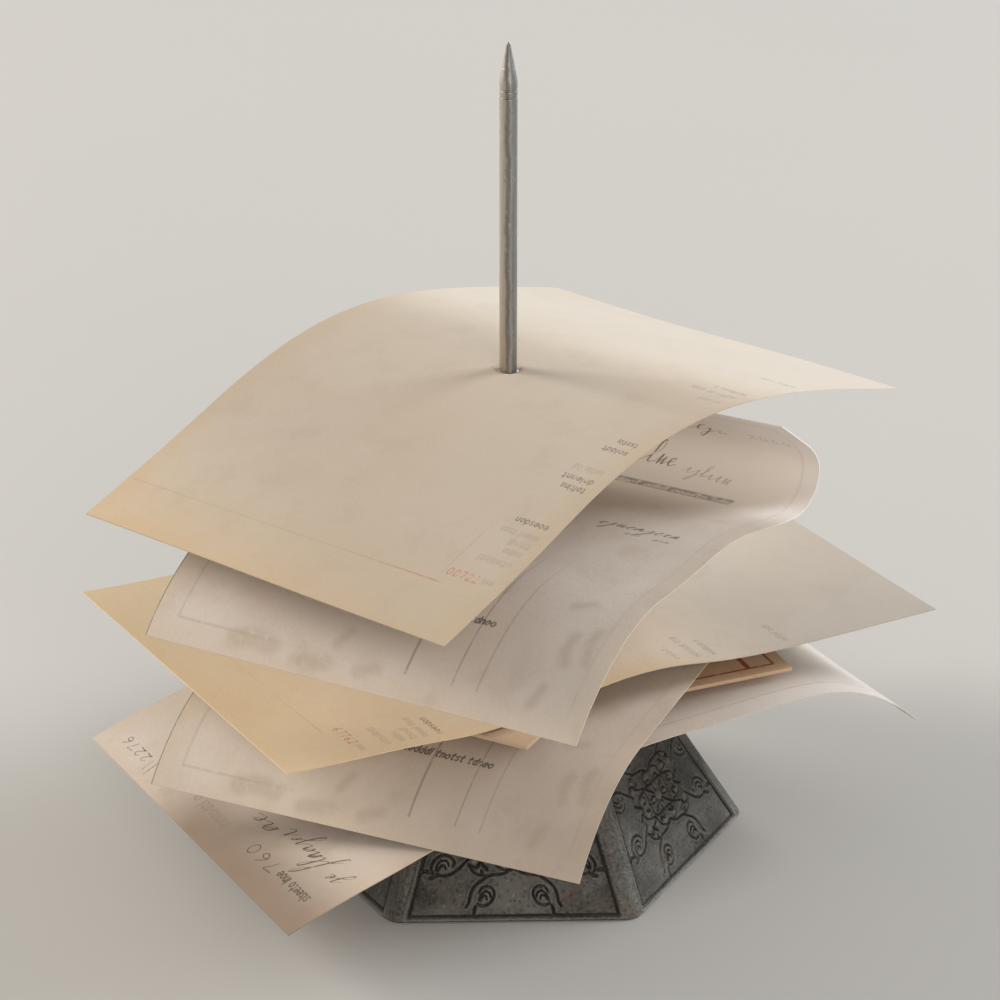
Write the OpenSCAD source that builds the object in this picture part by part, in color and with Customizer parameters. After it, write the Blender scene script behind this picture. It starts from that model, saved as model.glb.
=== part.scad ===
// Bill spike: a pointed steel rod standing on a hollow hexagonal iron casting,
// with curled bills and stiff cards pierced on the rod one above another.
// The origin is on the rod's axis, at the foot of the casting; the front face looks along -Y.

/* [Casting] */
// Width of the casting across its flats, at the foot
foot_flats = 79; // [72:0.5:90]
// Width across the flats at the top
top_flats = 50; // [42:0.5:56]
// Height of the casting
casting_h = 26.5; // [24:0.5:32]
// Radius of the six slanting corners
corner_r = 3.5; // [1.5:0.25:5]
// Width of the rim that the casting stands on
rim_w = 5; // [3.5:0.25:7]
// Thickness of the casting's top
deck_t = 5; // [4:0.25:7]
// Diameter of the boss under the top
boss_d = 11; // [9:0.5:14]
// How far the boss hangs below the top
boss_h = 4; // [2.5:0.5:6]

/* [Incised panels] */
// Width of every incised line
line_w = 0.6; // [0.4:0.05:0.8]
// Depth of every incised line
line_d = 0.45; // [0.3:0.05:0.7]
// Distance of the panel line from the slanting corners
panel_side = 3.2; // [2.5:0.1:4.5]
// Distance of the panel line from the foot
panel_foot = 1.2; // [0.9:0.1:2]
// Distance of the panel line from the top edge
panel_top = 1.6; // [1:0.1:3]
// Outer radius of a volute
volute_r = 2.2; // [1.6:0.1:2.4]
// Half distance between the volutes of the foot and top pairs
pair_half = 4.8; // [4.4:0.1:5.2]
// Height of the foot pair above the foot, along the slope
pair_rise = 5.4; // [5:0.1:6.2]
// Half distance between the side volutes
side_half = 12.4; // [11.8:0.1:12.6]
// Distance of the side volutes from the panel's middle, along the slope
side_rise = 3.8; // [3.4:0.1:4.2]
// Radius of the ring round the flower in the middle
flower_r = 2.4; // [2:0.1:2.6]
// Radius of a lobe of the wreath
lobe_r = 1.4; // [1.2:0.1:1.5]
// Distance of the lobes towards the foot and the top from the middle
lobe_rise = 4.5; // [4.3:0.1:4.8]
// Distance of the lobes towards the sides from the middle
lobe_reach = 5.2; // [5:0.1:5.5]
// Half distance between the two lobes of a pair
lobe_half = 1.9; // [1.8:0.05:2]
// Distance of the points of the four leaves from the middle
leaf_reach = 8.5; // [8.2:0.1:8.8]

/* [Spike] */
// Diameter of the rod
rod_d = 3.2; // [2.8:0.1:4]
// Height of the point above the foot
spike_top = 155.5; // [140:0.5:190]
// Length of the tapered point
point_l = 7; // [5:0.1:8]
// Diameter of the blunt tip
tip_d = 0.8; // [0.5:0.1:1.2]
// Distance of the upper turned ring from the tip
ring_drop = 8.6; // [8.4:0.1:14]
// Spacing of the turned rings
ring_pitch = 1.3; // [1:0.1:2]
// Number of turned rings
rings = 2; // [1:1:4]
// Width of a turned ring
ring_w = 0.4; // [0.2:0.05:0.6]
// Depth of a turned ring
ring_d = 0.15; // [0.1:0.05:0.3]

/* [Fixing] */
// How deep the rod's shoulder is let into the casting
seat_d = 2.5; // [1.5:0.25:3.5]
// Diameter of the stud under the shoulder
stud_d = 2.5; // [2:0.1:2.6]
// Length of stud that shows below the nut
stud_tail = 1.2; // [0.5:0.1:2]
// Clearance all round the rod and the stud in their holes
fit_gap = 0.05; // [0.02:0.01:0.1]
// Width of the nut across its flats
nut_flats = 5.5; // [5:0.25:7]
// Thickness of the nut
nut_t = 2.2; // [1.6:0.1:3]
// Diameter of the washer
washer_d = 7.5; // [7:0.25:9]
// Thickness of the washer
washer_t = 0.6; // [0.4:0.1:1]

/* [Paper] */
// Width of a bill
bill_w = 83; // [76:0.5:88]
// Length of a bill
bill_l = 140; // [130:1:146]
// Width of a statement
statement_w = 85; // [78:0.5:90]
// Length of a statement
statement_l = 130; // [124:1:136]
// Thickness of the paper
paper_t = 0.25; // [0.15:0.05:0.4]
// Width of a card
card_w = 56; // [48:0.5:58]
// Length of a card
card_l = 64; // [56:0.5:66]
// Thickness of a card
card_t = 0.8; // [0.5:0.1:1]
// Clearance between the rod and the hole that it tears
hole_gap = 0.3; // [0.2:0.05:0.5]

/* [Stack] */
// Height of the bottom bill above the casting
bottom_gap = 6; // [5.5:0.1:9]
// Height of the ruled card above the bottom bill
ruled_card_gap = 3.3; // [2.8:0.1:5]
// Height of the lower statement above the ruled card
lower_gap = 3.7; // [3.4:0.1:6]
// Height of the plain card above the lower statement
plain_card_gap = 1.4; // [1.3:0.1:3]
// Height of the middle bill above the plain card
middle_gap = 3.6; // [3.4:0.1:6]
// Height of the curled statement above the middle bill
curled_gap = 27; // [20:0.5:34]
// Height of the top bill above the highest part of the curl
top_gap = 5.6; // [4:0.1:10]

/* [Hidden] */
$fn = 96;

iron = "dimgray";
steel = "silver";
tan_paper = "burlywood";
pale_paper = "antiquewhite";
card_stock = "tan";

// Extra length of a cutting shape past the faces that it cuts
overcut = 1;

// The slope of the casting's faces and of the corners between them
sides = 6;
turn_of_side = 360 / sides;
foot_corner = foot_flats / 2 / cos(turn_of_side / 2);
top_corner = top_flats / 2 / cos(turn_of_side / 2);
face_lean = atan((foot_flats - top_flats) / 2 / casting_h);
corner_lean = atan((foot_corner - top_corner) / casting_h);
corner_length = casting_h / cos(corner_lean);
face_slope = casting_h / cos(face_lean);
normals_apart = acos(pow(cos(face_lean), 2) * cos(turn_of_side) + pow(sin(face_lean), 2));
hollow_h = casting_h - deck_t;
hollow_flats = foot_flats - 2 * rim_w;
hollow_top_flats = hollow_flats - 2 * hollow_h * tan(face_lean);

// Half width of a face at a distance up its slope, and the lean of its sides
side_splay = atan((foot_corner - top_corner) / 2 / face_slope);
function face_half(rise) = foot_corner / 2 - rise * tan(side_splay);
panel_middle = face_slope / 2;

// Shapes of the scrolls and leaves: how they are turned, and their sizes as shares of a volute
volute_pitch = 0.54;
foot_volute_angle = 30;
foot_sweep_angle = 108;
foot_sweep_start_angle = -8;
foot_sweep_share = 2;
side_volute_angle = -20;
side_sweep_angle = 115;
side_sweep_start_angle = 190;
side_sweep_share = 1.65;
side_sweep_shift_share = 0.22;
lobe_angle = 250;
leaf_turn_angle = 37;
leaf_spread_angle = 76;
leaf_round_share = 1.1;
leaf_half_share = 0.62;

// Levels of the fixing under the casting
shoulder_z = casting_h - seat_d;
boss_z = casting_h - deck_t - boss_h;
washer_z = boss_z - washer_t;
nut_z = washer_z - nut_t;
stud_z = nut_z - stud_tail;
nut_sides = 6;

// Each sheet: the way its rear points, its slope at the rod, its sideways offset, the length
// in front of the rod, and the bend of each equal run going outwards, where a plus bends up
top_turn_angle = 49.5;
top_slope_angle = 0.5;
top_offset = -0.5;
top_front = 70;
top_front_bend_angles = [-11, -8, 2, 2];
top_rear_bend_angles = [-10, -6, -2, 0];

curled_turn_angle = 60;
curled_slope_angle = -13.5;
curled_offset = 7;
curled_front = 72;
curled_front_bend_angles = [-16, 8, -29, -23];
curled_rear_bend_angles = [-2, 1, 7, 41, 94, 17, -1, 2];

middle_turn_angle = 29.5;
middle_slope_angle = 5.5;
middle_offset = -6;
middle_front = 66;
middle_front_bend_angles = [-2, 14, -4, 3];
middle_rear_bend_angles = [-16, 8, 2, -1];

lower_turn_angle = 64;
lower_slope_angle = 3;
lower_offset = -3.5;
lower_front = 60;
lower_front_bend_angles = [1, -3, -22, -22];
lower_rear_bend_angles = [-7, 0, 2, 1];

bottom_turn_angle = 28.5;
bottom_slope_angle = 6;
bottom_offset = -1;
bottom_front = 70;
bottom_front_bend_angles = [-6, -6, 4, -5];
bottom_rear_bend_angles = [-6, 2, -5, -24, -19];

ruled_card_turn_angle = 21.5;
ruled_card_offset = 0;
ruled_card_front = 18;
plain_card_turn_angle = 60.5;
plain_card_offset = -2.5;
plain_card_front = 41;

// A chain of equal runs from the origin, as points of its middle line with the slope at each
facet_angle = 4;
function bend_radius(length, bend) = length / bend * 180 / PI;
function run_end(length, bend) =
    bend == 0 ? [length, 0] : bend_radius(length, bend) * [sin(bend), 1 - cos(bend)];
function turned(point, angle) =
    [point.x * cos(angle) - point.y * sin(angle), point.x * sin(angle) + point.y * cos(angle)];
function chain(bends, length, slope, start = [0, 0], i = 0) =
    i == len(bends) ? [] :
    let (
        steps = max(1, ceil(abs(bends[i]) / facet_angle)),
        run = [
            for (k = [1 : steps])
                let (bend = bends[i] * k / steps)
                [start + turned(run_end(length * k / steps, bend), slope), slope + bend]
        ]
    )
    concat(run, chain(bends, length, slope + bends[i], run[steps - 1][0], i + 1));

// Highest point of the curled statement above its hole
curl_run = (statement_l - curled_front) / len(curled_rear_bend_angles);
curl_top = max([for (p = chain(curled_rear_bend_angles, curl_run, curled_slope_angle)) p[0].y]);

// Heights of the holes in the sheets
bottom_z = casting_h + bottom_gap;
ruled_card_z = bottom_z + ruled_card_gap;
lower_z = ruled_card_z + lower_gap;
plain_card_z = lower_z + plain_card_gap;
middle_z = plain_card_z + middle_gap;
curled_z = middle_z + curled_gap;
top_z = curled_z + curl_top + top_gap;

// A six-sided block with sloping faces, as three crossed trapezoids
module six_sided(foot, top, height) {
    intersection_for (i = [0 : sides / 2 - 1])
        rotate([90, 0, turn_of_side * (i + 0.5)])
            linear_extrude(2 * foot, center = true)
                polygon([[-foot / 2, 0], [foot / 2, 0], [top / 2, height], [-top / 2, height]]);
}

// What lies outside the round of one slanting corner
module corner_waste() {
    half = normals_apart / 2;
    middle = -corner_r / cos(half);
    reach = 2 * corner_r;
    translate([foot_corner, 0, 0])
        rotate([0, -corner_lean, 0])
            translate([0, 0, -2 * overcut - corner_r])
                linear_extrude(corner_length + 2 * (2 * overcut + corner_r))
                    difference() {
                        translate([middle, 0])
                            polygon([
                                [0, 0],
                                reach * [cos(half), -sin(half)],
                                [reach / cos(half), 0],
                                reach * [cos(half), sin(half)]
                            ]);
                        translate([middle, 0])
                            circle(corner_r);
                    }
}

// Children drawn on one face: X along the foot, Y up the slope, Z outwards
module on_face() {
    translate([0, -foot_flats / 2, 0])
        rotate([90 - face_lean, 0, 0])
            children();
}

// The outline of a panel, moved in from its line by a distance
module panel_outline(inwards) {
    low = panel_foot + inwards;
    high = face_slope - panel_top - inwards;
    side = (panel_side + inwards) / cos(side_splay);
    polygon([
        [side - face_half(low), low],
        [face_half(low) - side, low],
        [face_half(high) - side, high],
        [side - face_half(high), high]
    ]);
}

// The four straight lines round a panel
module panel_line() {
    translate([0, 0, -line_d])
        linear_extrude(line_d + overcut)
            difference() {
                panel_outline(-line_w / 2);
                panel_outline(line_w / 2);
            }
}

// One incised arc about the origin
module arc_line(radius, start, sweep) {
    rotate(start)
        rotate_extrude(angle = sweep)
            translate([radius - line_w / 2, -line_d])
                square([line_w, line_d + overcut]);
}

// A volute of half turns, each smaller than the last, winding in from its outer end on +X
module volute() {
    arc_line(volute_r, 0, 180);
    translate([-volute_pitch / 2, 0, 0])
        arc_line(volute_r - volute_pitch / 2, 180, 180);
    arc_line(volute_r - 2 * volute_pitch, 0, 180);
}

// A foot scroll on the right: the volute, the line that sweeps round it and its short stem
module foot_scroll() {
    translate([pair_half, pair_rise, 0])
        mirror([1, 0, 0])
            rotate(-foot_volute_angle)
                volute();
    translate([pair_half - volute_r / 2, pair_rise - volute_r / 2, 0])
        arc_line(foot_sweep_share * volute_r, foot_sweep_start_angle, foot_sweep_angle);
    translate([pair_half + volute_r - line_w / 2, panel_foot, -line_d])
        cube([line_w, pair_rise - volute_r, line_d + overcut]);
}

// A side scroll on the right, below the panel's middle
module side_scroll() {
    translate([side_half, panel_middle - side_rise, 0]) {
        rotate(side_volute_angle)
            volute();
        translate(side_sweep_shift_share * volute_r * [-1, 1, 0])
            arc_line(side_sweep_share * volute_r, side_sweep_start_angle, side_sweep_angle);
    }
}

// A leaf with its point on the origin, between two arcs
module leaf() {
    for (side = [-1, 1])
        translate(volute_r * [-1, side * leaf_half_share, 0])
            arc_line(
                leaf_round_share * volute_r,
                side > 0 ? -90 : 90 - leaf_spread_angle,
                leaf_spread_angle
            );
}

// One open lobe of the wreath, its opening towards the middle of the panel
module lobe(across, rise) {
    translate([across, rise, 0])
        arc_line(lobe_r, atan2(rise, across) - lobe_angle / 2, lobe_angle);
}

// The wreath: a ringed flower, pairs of lobes on its four sides, and four leaves between them
module wreath() {
    arc_line(flower_r, 0, 360);
    for (across = [-1, 1])
        for (over = [-1, 1]) {
            lobe(across * lobe_half, over * lobe_rise);
            lobe(across * lobe_reach, over * lobe_half);
            rotate(90 - over * 90 + across * over * leaf_turn_angle)
                translate([leaf_reach, 0, 0])
                    leaf();
        }
}

// All incised lines of one face, mirrored left to right and foot to top
module face_lines() {
    panel_line();
    translate([0, panel_middle, 0]) {
        wreath();
        for (across = [0, 1])
            for (over = [0, 1])
                mirror([across, 0, 0])
                    mirror([0, over, 0])
                        translate([0, -panel_middle, 0]) {
                            foot_scroll();
                            side_scroll();
                        }
    }
}

// The hollow casting, with a bored boss that the spike is bolted through
module base_casting() {
    color(iron)
        difference() {
            six_sided(foot_flats, top_flats, casting_h);
            for (i = [0 : sides - 1])
                rotate(turn_of_side * i)
                    corner_waste();
            for (i = [0 : sides - 1])
                rotate(turn_of_side * i)
                    on_face()
                        face_lines();
            difference() {
                translate([0, 0, -overcut])
                    six_sided(
                        hollow_flats + 2 * overcut * tan(face_lean),
                        hollow_top_flats,
                        hollow_h + overcut
                    );
                translate([0, 0, boss_z])
                    cylinder(h = casting_h, d = boss_d);
            }
            translate([0, 0, -overcut])
                cylinder(h = casting_h + 2 * overcut, d = stud_d + 2 * fit_gap);
            translate([0, 0, shoulder_z])
                cylinder(h = casting_h, d = rod_d + 2 * fit_gap);
        }
}

// The rod, turned in one piece with its blunt point and the stud at its foot
module spike() {
    taper_h = point_l - tip_d / 2;
    color(steel)
        difference() {
            union() {
                translate([0, 0, stud_z])
                    cylinder(h = shoulder_z - stud_z, d = stud_d);
                translate([0, 0, shoulder_z])
                    cylinder(h = spike_top - point_l - shoulder_z, d = rod_d);
                translate([0, 0, spike_top - point_l])
                    cylinder(h = taper_h, d1 = rod_d, d2 = tip_d);
                translate([0, 0, spike_top - tip_d / 2])
                    sphere(d = tip_d);
            }
            for (i = [0 : rings - 1])
                translate([0, 0, spike_top - ring_drop - ring_pitch * i])
                    rotate_extrude()
                        translate([rod_d / 2 - ring_d, -ring_w / 2])
                            square([ring_d + overcut, ring_w]);
        }
}

// The washer against the boss
module washer() {
    color(steel)
        translate([0, 0, washer_z])
            difference() {
                cylinder(h = washer_t, d = washer_d);
                translate([0, 0, -overcut])
                    cylinder(h = washer_t + 2 * overcut, d = stud_d + 2 * fit_gap);
            }
}

// The hexagon nut that holds the spike down
module nut() {
    color(steel)
        translate([0, 0, nut_z])
            difference() {
                cylinder(h = nut_t, d = nut_flats / cos(180 / nut_sides), $fn = nut_sides);
                translate([0, 0, -overcut])
                    cylinder(h = nut_t + 2 * overcut, d = stud_d + 2 * fit_gap);
            }
}

// The hole that the rod tears through a sheet lying at the origin
module torn_hole() {
    depth = 2 * (paper_t + card_t);
    translate([0, 0, -depth / 2])
        cylinder(h = depth, d = rod_d + 2 * hole_gap);
}

// A curled sheet, with its hole at the origin and its rear along +X
module curled_sheet(width, length, front, slope, offset, front_bend_angles, rear_bend_angles) {
    ahead = chain(front_bend_angles, front / len(front_bend_angles), -slope);
    behind = chain(rear_bend_angles, (length - front) / len(rear_bend_angles), slope);
    middle_line = concat(
        [for (i = [len(ahead) - 1 : -1 : 0]) [[-ahead[i][0].x, ahead[i][0].y], -ahead[i][1]]],
        [[[0, 0], slope]],
        behind
    );
    last = len(middle_line) - 1;
    upper = [for (p = middle_line) p[0] + paper_t / 2 * [-sin(p[1]), cos(p[1])]];
    lower = [for (p = middle_line) p[0] - paper_t / 2 * [-sin(p[1]), cos(p[1])]];
    difference() {
        rotate([90, 0, 0])
            translate([0, 0, offset - width / 2])
                linear_extrude(width)
                    polygon(concat(upper, [for (i = [last : -1 : 0]) lower[i]]));
        torn_hole();
    }
}

// A flat stiff card, placed in the same way
module flat_card(front, offset) {
    difference() {
        translate([-front, -offset - card_w / 2, -card_t / 2])
            cube([card_l, card_w, card_t]);
        torn_hole();
    }
}

// The lowest bill, with its rear end hanging down
module bottom_bill() {
    color(pale_paper)
        translate([0, 0, bottom_z])
            rotate(bottom_turn_angle)
                curled_sheet(bill_w, bill_l, bottom_front, bottom_slope_angle, bottom_offset,
                    bottom_front_bend_angles, bottom_rear_bend_angles);
}

// The stiff card with ruled lines
module ruled_card() {
    color(card_stock)
        translate([0, 0, ruled_card_z])
            rotate(ruled_card_turn_angle)
                flat_card(ruled_card_front, ruled_card_offset);
}

// The statement below the middle bill, with its front hanging down
module lower_statement() {
    color(pale_paper)
        translate([0, 0, lower_z])
            rotate(lower_turn_angle)
                curled_sheet(statement_w, statement_l, lower_front, lower_slope_angle, lower_offset,
                    lower_front_bend_angles, lower_rear_bend_angles);
}

// The plain stiff card
module plain_card() {
    color(card_stock)
        translate([0, 0, plain_card_z])
            rotate(plain_card_turn_angle)
                flat_card(plain_card_front, plain_card_offset);
}

// The nearly flat bill in the middle of the stack
module middle_bill() {
    color(tan_paper)
        translate([0, 0, middle_z])
            rotate(middle_turn_angle)
                curled_sheet(bill_w, bill_l, middle_front, middle_slope_angle, middle_offset,
                    middle_front_bend_angles, middle_rear_bend_angles);
}

// The statement whose rear end curls up and over
module curled_statement() {
    color(pale_paper)
        translate([0, 0, curled_z])
            rotate(curled_turn_angle)
                curled_sheet(statement_w, statement_l, curled_front, curled_slope_angle, curled_offset,
                    curled_front_bend_angles, curled_rear_bend_angles);
}

// The arched bill on top
module top_bill() {
    color(tan_paper)
        translate([0, 0, top_z])
            rotate(top_turn_angle)
                curled_sheet(bill_w, bill_l, top_front, top_slope_angle, top_offset,
                    top_front_bend_angles, top_rear_bend_angles);
}

base_casting();
spike();
washer();
nut();
bottom_bill();
ruled_card();
lower_statement();
plain_card();
middle_bill();
curled_statement();
top_bill();
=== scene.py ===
# Bill spike: a pointed steel rod bolted to a hollow iron casting, with seven old papers run down on it.
import math

import bmesh
import bpy
import numpy as np
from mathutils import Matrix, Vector


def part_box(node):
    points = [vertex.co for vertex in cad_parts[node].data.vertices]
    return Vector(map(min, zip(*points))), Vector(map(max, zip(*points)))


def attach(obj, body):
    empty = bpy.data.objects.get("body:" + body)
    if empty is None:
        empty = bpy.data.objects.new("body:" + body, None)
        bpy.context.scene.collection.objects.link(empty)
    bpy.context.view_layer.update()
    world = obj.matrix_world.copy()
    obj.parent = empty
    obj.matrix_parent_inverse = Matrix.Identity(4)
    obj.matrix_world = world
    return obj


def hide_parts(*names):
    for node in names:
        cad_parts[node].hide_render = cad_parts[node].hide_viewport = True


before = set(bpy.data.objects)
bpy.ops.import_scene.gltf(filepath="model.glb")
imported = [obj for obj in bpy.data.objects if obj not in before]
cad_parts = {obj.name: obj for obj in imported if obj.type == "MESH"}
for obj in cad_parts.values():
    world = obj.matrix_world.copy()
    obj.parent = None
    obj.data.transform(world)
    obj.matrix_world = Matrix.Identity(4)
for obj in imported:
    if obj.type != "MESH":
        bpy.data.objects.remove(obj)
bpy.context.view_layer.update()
bpy.ops.object.select_all(action="DESELECT")


# Camera
# A long lens a little way off, looking down on the papers, with the front face of the casting
# turned slightly to one side.
camera_place = (-0.0173, -0.6034, 0.3443)
camera_dip = math.radians(24.66)
camera_heading = math.radians(1.5)
film_width = 36
lens_length = 128.8
bpy.ops.object.camera_add(
    location=camera_place,
    rotation=(math.pi / 2 - camera_dip, 0, -camera_heading),
)
camera = bpy.context.object
camera.data.sensor_width = film_width
camera.data.lens = lens_length
camera.data.clip_start = 0.01
bpy.context.scene.camera = camera
bpy.context.scene.view_settings.view_transform = "Standard"


# Floor and light
# A plain pale table top, large soft lamps behind on the left and on the right, a weaker warm one
# in front, and an even pale sky round them.
class Wire:
    """The output of a node. Sums written with it add Math nodes to its finish."""

    def __init__(self, finish, socket):
        self.finish = finish
        self.socket = socket

    def out(self, name):
        return Wire(self.finish, self.socket.node.outputs[name])

    def math(self, operation, *others):
        values = dict(enumerate((self, *others)))
        return self.finish.node("Math", {"operation": operation}, values)

    def __add__(self, other):
        return self.math("ADD", other)

    def __sub__(self, other):
        return self.math("SUBTRACT", other)

    def __rsub__(self, other):
        return self.finish.node("Math", {"operation": "SUBTRACT"}, {0: other, 1: self})

    def __mul__(self, other):
        return self.math("MULTIPLY", other)

    def __truediv__(self, other):
        return self.math("DIVIDE", other)

    def __abs__(self):
        return self.math("ABSOLUTE")

    __radd__ = __add__
    __rmul__ = __mul__

    def least(self, other):
        return self.math("MINIMUM", other)

    def rise(self, low, high):
        """0 below low, 1 above high, and an easy slope between them."""
        settings = {"interpolation_type": "SMOOTHSTEP"}
        return self.finish.node("MapRange", settings, {0: self, 1: low, 2: high, 3: 0.0, 4: 1.0})

    def fall(self, low, high):
        return 1 - self.rise(low, high)


class Finish:
    """A material with one Principled shader, and the nodes that feed it."""

    def __init__(self, name):
        self.material = bpy.data.materials.new(name)
        self.material.use_nodes = True
        self.tree = self.material.node_tree
        self.shader = self.tree.nodes["Principled BSDF"]

    def join(self, socket, value):
        if isinstance(value, Wire):
            self.tree.links.new(value.socket, socket)
        else:
            socket.default_value = value

    def node(self, kind, settings=None, sockets=None, output=0):
        made = self.tree.nodes.new("ShaderNode" + kind)
        for name, value in (settings or {}).items():
            setattr(made, name, value)
        for key, value in (sockets or {}).items():
            self.join(made.inputs[key], value)
        return Wire(self, made.outputs[output])

    def noise(self, place, scale, detail=3.0, roughness=0.55):
        sockets = {"Vector": place, "Scale": scale, "Detail": detail, "Roughness": roughness}
        return self.node("TexNoise", {}, sockets)

    def stretched(self, place, scale):
        return self.node("VectorMath", {"operation": "MULTIPLY"}, {0: place, 1: scale})

    def mix(self, factor, under, over):
        under, over = ((*c, 1) if isinstance(c, tuple) else c for c in (under, over))
        return self.node("Mix", {"data_type": "RGBA"}, {0: factor, 6: under, 7: over}, 2)

    def lay(self, mask, colour):
        """Lays one more colour over those of the finish, as far as a mask lets it show."""
        self.colour = self.mix(mask, self.colour, colour)

    def mapped(self, name):
        """A value that the mesh itself holds at each of its vertices."""
        return self.node("Attribute", {"attribute_name": name}, output="Fac")

    def bump(self, height, strength, distance):
        return self.node("Bump", {}, {"Height": height, "Strength": strength, "Distance": distance})

    def dress(self, **sockets):
        """Sets the shader's sockets, an underscore standing for a space in a socket's name."""
        for name, value in sockets.items():
            value = (*value, 1) if isinstance(value, tuple) else value
            self.join(self.shader.inputs[name.replace("_", " ")], value)
        return self.material


floor_side = 9.0
floor_drop = 0.00005
bpy.ops.mesh.primitive_plane_add(size=floor_side, location=(0, 0, -floor_drop))
floor = bpy.context.object
floor.name = "floor"
floor_finish = Finish("pale_floor")
floor_cloud = floor_finish.noise(floor_finish.node("TexCoord", output="Object"), 3.0)
floor_colour = floor_finish.mix(floor_cloud, (0.52, 0.515, 0.50), (0.55, 0.545, 0.53))
floor.data.materials.append(floor_finish.dress(Base_Color=floor_colour, Roughness=0.8))

lamp_target = Vector((0, 0, 0.07))
lamp_side = 0.9


def soft_lamp(name, place, watts, tint):
    aim = (lamp_target - Vector(place)).to_track_quat("-Z", "Y").to_euler()
    bpy.ops.object.light_add(type="AREA", location=place, rotation=aim)
    lamp = bpy.context.object
    lamp.name = name
    lamp.data.size = lamp_side
    lamp.data.energy = watts
    lamp.data.color = tint


soft_lamp("left_lamp", place=(-1.68, 0.68, 0.92), watts=34.0, tint=(1.0, 0.93, 0.84))
soft_lamp("right_lamp", place=(1.68, 0.68, 0.92), watts=29.0, tint=(0.97, 0.985, 1.0))
soft_lamp("front_lamp", place=(0.35, -1.85, 0.75), watts=11.0, tint=(1.0, 0.88, 0.75))
sky = bpy.data.worlds.new("pale_sky")
sky.use_nodes = True
sky_light = sky.node_tree.nodes["Background"]
sky_light.inputs["Color"].default_value = (1.0, 0.985, 0.96, 1)
sky_light.inputs["Strength"].default_value = 0.42
bpy.context.scene.world = sky


# Base casting
# A hollow hexagonal foot of grey iron, cast in one piece with scrolls and leaves on its six sloping
# faces and a bored boss under its top. Old dirt lies in the lines and the high edges are rubbed.
mm = 0.001
foot_low, foot_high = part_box("base_casting")
casting_h = foot_high.z / mm
foot_half = (foot_high.y - foot_low.y) / 2 / mm
top_half = 25.0
face_tan = (foot_half - top_half) / casting_h
face_lean = math.atan(face_tan)
face_slope = casting_h / math.cos(face_lean)
panel_middle = face_slope / 2
corner_round = 3.5
hollow_half = foot_half - 5.0
hollow_corner = 2.0
deck_low = casting_h - 5.0
boss_low = deck_low - 4.0
boss_round = 5.5
rod_round = 1.6
stud_round = 1.25
seat_low = casting_h - 2.5
slip = 0.05


def sweep(*through):
    """An easy curve through a few points."""
    points = np.array([through[0], *through, through[-1]], float)
    t = np.linspace(0, 1, 6, endpoint=False)[:, None]
    runs = []
    for a, b, c, d in zip(points, points[1:], points[2:], points[3:]):
        runs.append(b + 0.5 * t * (c - a + t * (2 * a - 5 * b + 4 * c - d + t * (3 * (b - c) + d - a))))
    return np.concatenate([*runs, points[-1:]])


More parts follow.
